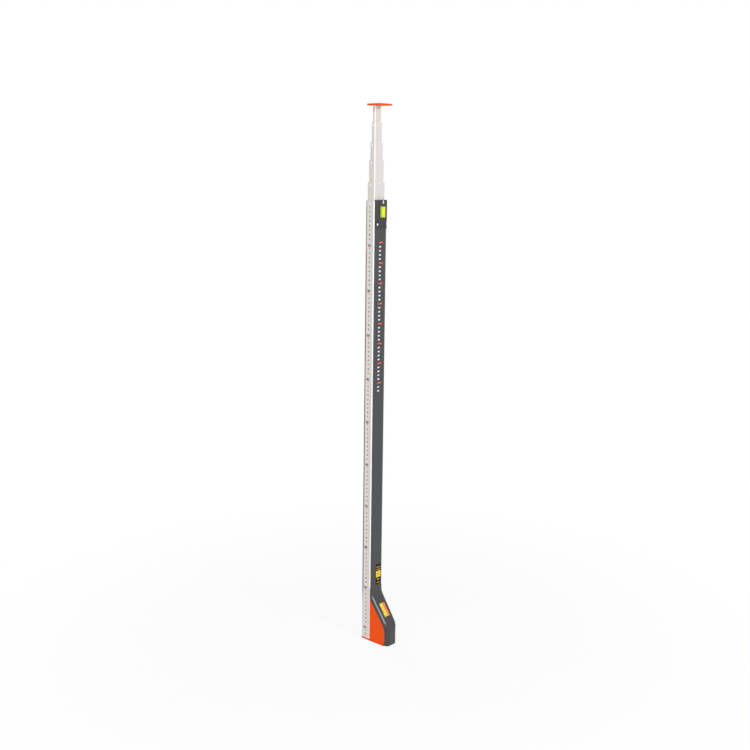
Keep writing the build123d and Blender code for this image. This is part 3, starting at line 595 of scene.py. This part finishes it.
def buildTickTree():
    tree = bpy.data.node_groups.new("tickRow", "GeometryNodeTree")
    for label, kind in tickInputs:
        tree.interface.new_socket(label, in_out="INPUT", socket_type=kind)
    tree.interface.new_socket("Ticks", in_out="OUTPUT", socket_type="NodeSocketGeometry")
    given = tree.nodes.new("NodeGroupInput")
    size = {label: Wire(tree, given.outputs[label]) for label, kind in tickInputs}
    start = Wire(tree)
    step = start.node("ShaderNodeCombineXYZ", plugs={"Y": 0.0 - size["Pitch"]})
    row = start.node("GeometryNodeMeshLine", {"mode": "OFFSET"}, {"Count": size["Count"], "Offset": step})
    # which tick of the scale each point is, and how long it is drawn
    mark = start.node("GeometryNodeInputIndex") + size["First"]
    half, whole, long = ((mark % every) < 0.5 for every in (5.0, 10.0, 100.0))
    length = size["Fine"] + half * (size["Half"] - size["Fine"])
    length = length + whole * (size["Whole"] - size["Half"]) + long * (size["Long"] - size["Whole"])
    width = size["Width"] + whole * (size["Bold"] - size["Width"])
    tick = start.node("GeometryNodeMeshCube", plugs={"Size": (1.0, 1.0, 1.0)})
    tick = tick.node("GeometryNodeTransform", plugs={"Geometry": tick, "Translation": (0.5, 0.0, 0.0)})
    drawn = start.node("ShaderNodeCombineXYZ", plugs={"X": length, "Y": width, "Z": size["Thick"]})
    ticks = row.node("GeometryNodeInstanceOnPoints", plugs={"Points": row, "Instance": tick, "Scale": drawn})
    ticks = ticks.node("GeometryNodeRealizeInstances", plugs={"Geometry": ticks})
    ticks = ticks.node("GeometryNodeSetMaterial", plugs={"Geometry": ticks, "Material": size["Ink"]})
    end = tree.nodes.new("NodeGroupOutput")
    tree.links.new(ticks.socket, end.inputs["Ticks"])
    return tree


tickTree = buildTickTree()


def tickRow(sizes, ink):
    # runs the tree and keeps its result as a plain mesh, drawn from local X 0, downwards from Y 0
    holder = bpy.data.objects.new("tickRow", bpy.data.meshes.new("tickRow"))
    scene.collection.objects.link(holder)
    modifier = holder.modifiers.new("tickRow", "NODES")
    modifier.node_group = tickTree
    given = dict(sizes, Ink=ink)
    for item in tickTree.interface.items_tree:
        if item.in_out == "INPUT":
            modifier[item.identifier] = given[item.name]
    shown = holder.evaluated_get(bpy.context.evaluated_depsgraph_get())
    mesh = bpy.data.meshes.new_from_object(shown)
    holder.modifiers.remove(modifier)
    bpy.data.objects.remove(holder)
    return mesh


# printed centimetre scale on the left face, counted downwards

scale = {
    "zeroZ": 1033.5 * mm, "first": 20, "last": 1025, "ink": 0.03 * mm, "shadeBand": 1.5 * mm,
    "digit": 6.0 * mm, "decade": 8.2 * mm, "hundred": 6.0 * mm, "bold": 0.28 * mm, "boldest": 0.36 * mm,
    "digitSide": 3.2 * mm, "decadeSide": 4.4 * mm, "hundredSide": 5.4 * mm, "decadeDrop": 3.6 * mm,
}
scaleTicks = {
    "Count": scale["last"] - scale["first"] + 1, "First": scale["first"], "Pitch": mm,
    "Fine": 1.3 * mm, "Half": 2.0 * mm, "Whole": 3.0 * mm, "Long": 6.0 * mm,
    "Width": 0.10 * mm, "Bold": 0.30 * mm, "Thick": 2 * scale["ink"],
}


def makeScale():
    low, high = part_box("scale_strip")
    onStrip = placed((0, -1, 0), (0, 0, 1), (-1, 0, 0), (low.x, high.y, scale["zeroZ"]))
    stripWidth = high.y - low.y
    ticks = tickRow(scaleTicks, inkGrey)
    ticks.transform(onStrip @ Matrix.Translation((scale["shadeBand"], -scale["first"] * scaleTicks["Pitch"], 0)))
    ridePiece("scale_ticks", ticks, inkGrey, "outer")
    digits = bmesh.new()
    thick = 2 * scale["ink"]
    for cm in range(scale["first"] // 10, scale["last"] // 10 + 1):
        y = -cm * centimetre
        if cm % 10 == 0:
            kind = "decade" if cm < 100 else "hundred"
            x = stripWidth - scale[kind + "Side"]
            addNumber(digits, str(cm), scale[kind], scale["boldest"], thick, x, y - scale["decadeDrop"])
        else:
            x = stripWidth - scale["digitSide"]
            addNumber(digits, str(cm % 10), scale["digit"], scale["bold"], thick, x, y)
    printOn(onStrip, "scale_numbers", digits, inkBlack, "outer")
    # painted shade: a brown line along the rear edge of the strip, standing in for the dark rear corner
    shadeBand = bmesh.new()
    bottom = low.z - scale["zeroZ"]
    top = high.z - scale["zeroZ"]
    outline = [(0, bottom), (scale["shadeBand"], bottom), (scale["shadeBand"], top), (0, top)]
    addPrism(shadeBand, outline, -scale["ink"], scale["ink"])
    printOn(onStrip, "scale_edge_shade", shadeBand, edgeShade, "outer")


makeScale()
print("scale printed")


# reading window: tape print, hairline and dot, all on the slope

lens = nodes["reading_window"].data
slopeOut = max((f for f in lens.polygons if f.normal.y < 0), key=lambda f: f.area).normal.copy()
slopeUp = slopeOut.cross(Vector((1, 0, 0)))
sameWay = 0.99  # cosine past which two directions count as one


def faceReach(node, way):
    # how far the flat face of a node that looks one way reaches along it
    mesh = nodes[node].data
    faces = (f for f in mesh.polygons if f.normal.dot(way) > sameWay)
    return max(mesh.vertices[v].co.dot(way) for f in faces for v in f.vertices)


window = {
    "ink": 0.03 * mm, "firstNumber": 47, "numbers": 4, "numberSize": 5.6 * mm, "numberSide": 3.4 * mm,
    "tickSide": 0.2 * mm, "hair": 0.3 * mm, "bar": (3.6 * mm, 1.1 * mm), "barCorner": 1.1 * mm / 3,
    "dot": 1.6 * mm, "dotShare": 0.42,
}
tapeTicks = {
    "Count": window["numbers"] * 10 + 1, "First": 0, "Pitch": mm, "Fine": 1.6 * mm, "Half": 2.4 * mm,
    "Whole": 3.6 * mm, "Long": 3.6 * mm, "Width": 0.10 * mm, "Bold": 0.22 * mm, "Thick": 2 * window["ink"],
}


def makeWindowPrint():
    low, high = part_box("reading_window")
    middle = (low + high) / 2
    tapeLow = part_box("tape_guide_run")[0]
    indexLow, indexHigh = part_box("index_plate")
    rise = slopeUp * middle.dot(slopeUp)
    tapeFace = placed((1, 0, 0), slopeUp, slopeOut, rise + slopeOut * faceReach("tape_guide_run", slopeOut))
    indexFace = placed((1, 0, 0), slopeUp, slopeOut, rise + slopeOut * faceReach("index_plate", slopeOut))
    topY = window["numbers"] / 2 * centimetre
    # ticks stand on the right edge of the tape and run to the left
    ticks = tickRow(tapeTicks, inkBrown)
    edgeX = indexLow.x - window["tickSide"]
    ticks.transform(tapeFace @ Matrix.Translation((edgeX, topY, 0)) @ Matrix.Diagonal((-1, 1, 1, 1)))
    ticks.flip_normals()
    ridePiece("tape_ticks", ticks, inkBrown, "outer")
    ink = window["ink"]
    digits = bmesh.new()
    for i in range(window["numbers"]):
        x = tapeLow.x + window["numberSide"]
        y = topY - (i + 0.5) * centimetre
        text = str(window["firstNumber"] + window["numbers"] - i)
        addNumber(digits, text, window["numberSize"], 0.0, 2 * ink, x, y)
    printOn(tapeFace, "tape_numbers", digits, inkBrown, "outer")
    # red bar and hairline across the tape, and a dot on the index margin
    marks = bmesh.new()
    barLong, barWide = window["bar"]
    dotX = indexLow.x + (indexHigh.x - indexLow.x) * window["dotShare"]
    hair = window["hair"] / 2
    barEnd = tapeLow.x + barLong
    line = [(barEnd, -hair), (dotX, -hair), (dotX, hair), (barEnd, hair)]
    addPrism(marks, line, -ink, ink / 2)
    bar = roundedBar(barLong, barWide, window["barCorner"], (tapeLow.x + barLong / 2, 0))
    addPrism(marks, bar, -ink, ink / 2)
    addPrism(marks, circlePoints((dotX, 0), window["dot"]), -ink, ink)
    printOn(indexFace, "index_marks", marks, inkRed, "outer")


makeWindowPrint()
print("reading window printed")


# level vial: reading rings and the bubble at its upper end

vial = {
    "ringGap": 10.7 * mm, "ringWide": 0.35 * mm, "ringOut": 0.03 * mm,
    "bubbleTurns": 24, "bubbleSteps": 16, "bubbleFill": 0.94,
}
bubbleLook = {
    "dim": (0.80, 0.86, 0.40), "bright": (0.92, 0.95, 0.62), "drift": 300.0,
    "rough": 0.03, "coat": 1.0, "alpha": 0.55,
}


def bubbleAir(name):
    look = bubbleLook
    fixed = {"Roughness": look["rough"], "Coat Weight": look["coat"], "Alpha": look["alpha"]}
    material, shader, place = newFinish(name, fixed)
    drift = noise(place, look["drift"], 1.0)
    feed(shader, "Base Color", tone(drift, look["dim"], look["bright"]))
    return material


def makeVial():
    low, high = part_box("vial_fluid")
    axis = (low + high) / 2
    radius = (high.x - low.x) / 2
    rings = bmesh.new()
    for side in (-1, 1):
        z = side * vial["ringGap"] / 2
        addRing(rings, (0, 0), radius - vial["ringOut"], radius + vial["ringOut"], z, z + vial["ringWide"])
    printOn(Matrix.Translation(axis), "vial_rings", rings, inkBlack, "outer")
    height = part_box("vial_plug")[0].z - high.z
    bubble = bmesh.new()
    turns, steps = vial["bubbleTurns"], vial["bubbleSteps"]
    bmesh.ops.create_uvsphere(bubble, u_segments=turns, v_segments=steps, radius=1.0)
    mesh = meshOf(bubble, "vial_bubble")
    wide = radius * vial["bubbleFill"]
    fit = Matrix.Diagonal((wide, wide, height / 2, 1))
    mesh.transform(Matrix.Translation((axis.x, axis.y, high.z + height / 2)) @ fit)
    mesh.shade_smooth()
    ridePiece("vial_bubble", mesh, bubbleAir("bubbleAir"), "outer")


makeVial()
print("vial marked")


# printed plate above the foot: a ring in a square, dots over it and a pointer below

label = {
    "ink": 0.03 * mm, "square": 15.2 * mm, "corner": 1.4 * mm, "ring": (2.0 * mm, 3.4 * mm),
    "dot": 3.0 * mm, "dotCorner": 0.75 * mm, "dotRows": 2, "dotColumns": 3,
    "columnStep": 4.4 * mm, "rowStep": 5.8 * mm, "dotGap": 2.4 * mm,
    "pointer": (9.0 * mm, 5.0 * mm), "pointerGap": 3.6 * mm, "bar": 2.0 * mm, "barCorner": 0.5 * mm,
}


def makeLabel():
    low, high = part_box("label_plate")
    middle = (low + high) / 2
    face = placed((1, 0, 0), (0, 0, 1), (0, -1, 0), (middle.x, low.y, middle.z))
    ink = label["ink"]
    half = label["square"] / 2
    square = bmesh.new()
    addPrism(square, roundedBar(2 * half, 2 * half, label["corner"]), -ink, ink)
    marks = bmesh.new()
    dot = label["dot"]
    for row in range(label["dotRows"]):
        y = half + label["dotGap"] + dot / 2 + row * label["rowStep"]
        for column in range(label["dotColumns"]):
            x = (column - (label["dotColumns"] - 1) / 2) * label["columnStep"]
            addPrism(marks, roundedBar(dot, dot, label["dotCorner"], (x, y)), -ink, ink)
    w, h = label["pointer"]
    top = -half - label["pointerGap"]
    addPrism(marks, [(-w / 2, top), (0, top - h), (w / 2, top)], -ink, ink)
    y = top - h - label["pointerGap"] - label["bar"] / 2
    addPrism(marks, roundedBar(w, label["bar"], label["barCorner"], (0, y)), -ink, ink)
    ring = bmesh.new()
    addRing(ring, (0, 0), *label["ring"], 0, 2 * ink)
    printOn(face, "label_square", square, inkYellow, "outer")
    printOn(face, "label_marks", marks, inkAmber, "outer")
    printOn(face, "label_ring", ring, inkBrown, "outer")


makeLabel()
print("label printed")


# coarse marks down the front cover, every fifth one orange

coverMarks = {
    "top": 30.0 * mm, "pitch": 9.0 * mm, "count": 38, "wide": 12.0 * mm, "short": 6.0 * mm,
    "bar": 3.0 * mm, "corner": 0.6 * mm, "ink": 0.03 * mm, "accent": 5,
}


def makeCoverMarks():
    low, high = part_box("front_cover")
    top = ((low.x + high.x) / 2, low.y, high.z - coverMarks["top"])
    face = placed((1, 0, 0), (0, 0, 1), (0, -1, 0), top)
    ink = coverMarks["ink"]
    white, orange = bmesh.new(), bmesh.new()
    for i in range(coverMarks["count"]):
        accent = i % coverMarks["accent"] == 0
        w = coverMarks["wide"] if accent else coverMarks["short"]
        centre = ((w - coverMarks["wide"]) / 2, -i * coverMarks["pitch"])
        bar = roundedBar(w, coverMarks["bar"], coverMarks["corner"], centre)
        addPrism(orange if accent else white, bar, -ink, ink)
    printOn(face, "cover_marks_white", white, inkWhite, "outer")
    printOn(face, "cover_marks_orange", orange, inkOrange, "outer")


makeCoverMarks()
print("cover printed")


# painted shade in the anchor screw's seat: dark marks over and under its head

shading = {"wide": 3.2 * mm, "high": 1.8 * mm, "corner": 0.7 * mm, "gap": 0.1 * mm, "ink": 0.03 * mm}


def makeSeat():
    low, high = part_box("anchor_screw")
    middle = (low + high) / 2
    face = placed((0, -1, 0), (0, 0, 1), (-1, 0, 0), (low.x, middle.y, middle.z))
    rise = (high.z - low.z) / 2 + shading["gap"] + shading["high"] / 2
    marks = bmesh.new()
    for side in (-1, 1):
        outline = roundedBar(shading["wide"], shading["high"], shading["corner"], (0, side * rise))
        addPrism(marks, outline, -shading["ink"], shading["ink"])
    printOn(face, "anchor_painted_shade", marks, inkBlack, "section_6")


makeSeat()
print("screw seat marked")


# floor, light and camera; a turn of 0 looks at the front, and -90 at the scale

stage = {
    "floorHalf": 6.0, "floorColour": (0.95, 0.95, 0.95), "floorRough": 0.9, "floorWhite": 0.88,
    "nearRadius": 0.25, "farRadius": 1.1, "worldLight": 0.38, "aimZ": 0.6,
}
lamps = {
    "softbox": {
        "turn": -50.0, "reach": 2.7, "height": 1.05,
        "size": (3.6, 2.1), "power": 56.0, "colour": (1.0, 0.985, 0.97),
    },
    "highLamp": {
        "turn": 0.0, "reach": 2.7, "height": 2.1,
        "size": (0.6, 0.6), "power": 26.0, "colour": (0.94, 0.97, 1.0),
    },
    "backLamp": {
        "turn": 165.0, "reach": 2.7, "height": 1.5,
        "size": (1.5, 1.5), "power": 16.0, "colour": (1.0, 1.0, 1.0),
    },
}


def atTurn(turn, reach, height):
    angle = math.radians(turn)
    return Vector((math.sin(angle) * reach, -math.cos(angle) * reach, height))


def seenDirectly(path):
    # 1 for rays from the camera and for what shows in metal and glass
    rays = [Wire(path.tree, path.socket.node.outputs[name])
            for name in ("Is Camera Ray", "Is Glossy Ray", "Is Transmission Ray")]
    return path.maths("MAXIMUM", path.maths("MAXIMUM", rays[0], rays[1]), rays[2])


def makeFloor():
    bm = bmesh.new()
    bmesh.ops.create_grid(bm, x_segments=1, y_segments=1, size=stage["floorHalf"])
    mesh = bpy.data.meshes.new("floor")
    bm.to_mesh(mesh)
    bm.free()
    floor = bpy.data.objects.new("floor", mesh)
    scene.collection.objects.link(floor)
    fixed = {
        "Base Color": (*stage["floorColour"], 1), "Roughness": stage["floorRough"],
        "Specular IOR Level": 0.0,
    }
    material, shader, place = newFinish("floorPale", fixed)
    tree = material.node_tree
    flat = place.node("ShaderNodeVectorMath", {"operation": "LENGTH"}, {0: place}, "Value")
    white = place.node("ShaderNodeEmission", plugs={"Color": (1, 1, 1, 1), "Strength": 1.0})
    seen = seenDirectly(place.node("ShaderNodeLightPath"))
    far = band(flat, stage["nearRadius"], stage["farRadius"])
    share = (stage["floorWhite"] + far * (1.0 - stage["floorWhite"])) * seen
    both = share.node("ShaderNodeMixShader", plugs={0: share, 1: Wire(tree, shader.outputs[0]), 2: white})
    tree.links.new(both.socket, tree.nodes["Material Output"].inputs["Surface"])
    mesh.materials.append(material)


def makeLight():
    world = bpy.data.worlds.new("studio")
    world.use_nodes = True
    scene.world = world
    backdrop = world.node_tree.nodes["Background"]
    backdrop.inputs["Color"].default_value = (1, 1, 1, 1)
    seen = seenDirectly(Wire(world.node_tree).node("ShaderNodeLightPath"))
    feed(backdrop, "Strength", stage["worldLight"] + seen * (1.0 - stage["worldLight"]))
    for name, look in lamps.items():
        lamp = bpy.data.lights.new(name, "AREA")
        lamp.shape = "ELLIPSE"
        lamp.size, lamp.size_y = look["size"]
        lamp.energy = look["power"]
        lamp.color = look["colour"]
        holder = bpy.data.objects.new(name, lamp)
        scene.collection.objects.link(holder)
        holder.location = atTurn(look["turn"], look["reach"], look["height"])
        aim = Vector((0, 0, stage["aimZ"])) - holder.location
        holder.rotation_euler = aim.to_track_quat("-Z", "Y").to_euler()


makeFloor()
makeLight()

view = {
    "turn": -47.02, "reach": 2.269, "height": 1.1, "back": 0.00055, "pitch": 11.516, "roll": 0.6875,
    "focal": 1022.0, "frame": 750.0, "middle": 374.07, "sensor": 36.0,
}


def makeCamera():
    pitch = math.radians(view["pitch"])
    roll = math.radians(view["roll"])
    place = atTurn(view["turn"], view["reach"], view["height"]) - Vector((0, view["back"], 0))
    ahead = atTurn(view["turn"], -math.cos(pitch), -math.sin(pitch))
    right = ahead.cross(Vector((0, 0, 1))).normalized()
    up = right.cross(ahead)
    tiltedRight = right * math.cos(roll) + up * math.sin(roll)
    tiltedUp = up * math.cos(roll) - right * math.sin(roll)
    camera = bpy.data.cameras.new("camera")
    camera.sensor_fit = "HORIZONTAL"
    camera.sensor_width = view["sensor"]
    camera.lens = view["focal"] / view["frame"] * view["sensor"]
    camera.shift_x = (view["frame"] / 2 - view["middle"]) / view["frame"]
    holder = bpy.data.objects.new("camera", camera)
    scene.collection.objects.link(holder)
    holder.matrix_world = placed(tiltedRight, tiltedUp, -ahead, place)
    scene.camera = holder


makeCamera()
scene.view_settings.view_transform = "Standard"
print("stage and camera set")

bpy.context.view_layer.update()
